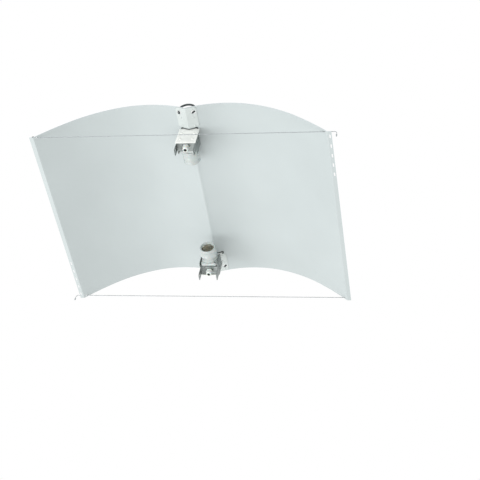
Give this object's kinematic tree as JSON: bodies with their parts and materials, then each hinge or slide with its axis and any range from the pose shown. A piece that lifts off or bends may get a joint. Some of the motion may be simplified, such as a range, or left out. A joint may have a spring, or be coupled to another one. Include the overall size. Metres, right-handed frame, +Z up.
{
  "type": "grow lamp",
  "caption": "Hanging grow light reflector: one creased sheet bent into two wings, with facing screw lampholders on height-adjustable plates, tension wires and wire hooks.",
  "frame": {"origin": "on the crease line under the sheet, half way between its two ends", "axes": "X across the wings, Y along the crease from the near end to the far end, Z up"},
  "size_m": [0.9846, 0.7, 0.2189],
  "materials": {
    "white_sheet": "satin white powder coat on aluminium",
    "white_plate": "gloss white powder coat on steel",
    "galvanised": "zinc-plated sheet steel",
    "fastener": "zinc-plated steel fasteners",
    "porcelain": "glazed white porcelain",
    "shell": "nickel-plated brass shell",
    "brass": "plain brass",
    "gland_plastic": "white polyamide",
    "hook_steel": "black oxide spring steel",
    "wire_steel": "bright stainless wire",
    "ferrule": "dark plated steel ball",
    "trim_rubber": "black edge rubber",
    "aluminium": "plain aluminium block"
  },
  "bodies": {
    "spine": {"spine_strip": "white_sheet", "saddle_plate_near": "white_plate", "saddle_plate_far": "white_plate", "saddle_rivets_near": "white_plate", "saddle_rivets_far": "white_plate", "slot_trim_near": "trim_rubber", "slot_trim_far": "trim_rubber", "clamp_block_near": "aluminium", "clamp_block_far": "aluminium", "clamp_stud_near": "fastener", "clamp_stud_far": "fastener"},
    "left_wing": {"wing_left": "white_sheet", "edge_lip_left": "white_sheet"},
    "right_wing": {"wing_right": "white_sheet", "edge_lip_right": "white_sheet"},
    "near_wire": {"tension_wire_near": "wire_steel", "wire_ball_near": "ferrule", "tail_sleeve_near": "wire_steel"},
    "near_hook": {"hanging_hook_near": "hook_steel"},
    "near_lamp_carriage": {"hanger_plate_near": "white_plate", "socket_bracket_near": "galvanised", "bracket_screws_near": "white_plate", "lampholder_near": "porcelain", "screw_shell_near": "shell", "centre_contact_near": "brass", "holder_screws_near": "fastener", "terminal_block_near": "porcelain", "terminal_screws_near": "brass", "cable_gland_near": "gland_plastic", "gland_nut_near": "gland_plastic"},
    "near_clamp_nut": {"wing_nut_near": "fastener"},
    "far_wire": {"tension_wire_far": "wire_steel", "wire_ball_far": "ferrule", "tail_sleeve_far": "wire_steel"},
    "far_hook": {"hanging_hook_far": "hook_steel"},
    "far_lamp_carriage": {"hanger_plate_far": "white_plate", "socket_bracket_far": "galvanised", "bracket_screws_far": "white_plate", "lampholder_far": "porcelain", "screw_shell_far": "shell", "centre_contact_far": "brass", "holder_screws_far": "fastener", "terminal_block_far": "porcelain", "terminal_screws_far": "brass", "cable_gland_far": "gland_plastic", "gland_nut_far": "gland_plastic"},
    "far_clamp_nut": {"wing_nut_far": "fastener"}
  },
  "joints": [
    {"name": "left_wing_bend", "type": "hinge", "parent": "spine", "child": "left_wing", "pos_m": [-0.04596, 0, 0.01385], "axis": [0, 1, 0], "range_deg": [-6, 2]},
    {"name": "right_wing_bend", "type": "hinge", "parent": "spine", "child": "right_wing", "pos_m": [0.04596, 0, 0.01385], "axis": [0, 1, 0], "range_deg": [-2, 6]},
    {"name": "near_wire_pivot", "type": "hinge", "parent": "left_wing", "child": "near_wire", "pos_m": [-0.45345, -0.344, -0.12995], "axis": [0, 1, 0], "range_deg": [-2, 6]},
    {"name": "far_wire_pivot", "type": "hinge", "parent": "right_wing", "child": "far_wire", "pos_m": [0.45345, 0.344, -0.12995], "axis": [0, 1, 0], "range_deg": [-6, 2]},
    {"name": "near_hook_swing", "type": "hinge", "parent": "spine", "child": "near_hook", "pos_m": [0, -0.329, 0.0084], "axis": [1, 0, 0], "range_deg": [-35, 35]},
    {"name": "near_lamp_height", "type": "slide", "parent": "spine", "child": "near_lamp_carriage", "axis": [0, 0, 1], "range_m": [-0.038, 0]},
    {"name": "near_nut_turn", "type": "hinge", "parent": "spine", "child": "near_clamp_nut", "pos_m": [0, -0.265, 0.016], "axis": [0, 1, 0], "continuous": true},
    {"name": "far_hook_swing", "type": "hinge", "parent": "spine", "child": "far_hook", "pos_m": [0, 0.329, 0.0084], "axis": [1, 0, 0], "range_deg": [-35, 35]},
    {"name": "far_lamp_height", "type": "slide", "parent": "spine", "child": "far_lamp_carriage", "axis": [0, 0, 1], "range_m": [0, 0.038]},
    {"name": "far_nut_turn", "type": "hinge", "parent": "spine", "child": "far_clamp_nut", "pos_m": [0, 0.265, 0.016], "axis": [0, 1, 0], "continuous": true}
  ],
  "couplings": [
    {"joint": "right_wing_bend", "follows": "left_wing_bend", "ratio": -1},
    {"joint": "near_wire_pivot", "follows": "left_wing_bend", "ratio": -1},
    {"joint": "far_wire_pivot", "follows": "left_wing_bend", "ratio": 1}
  ]
}
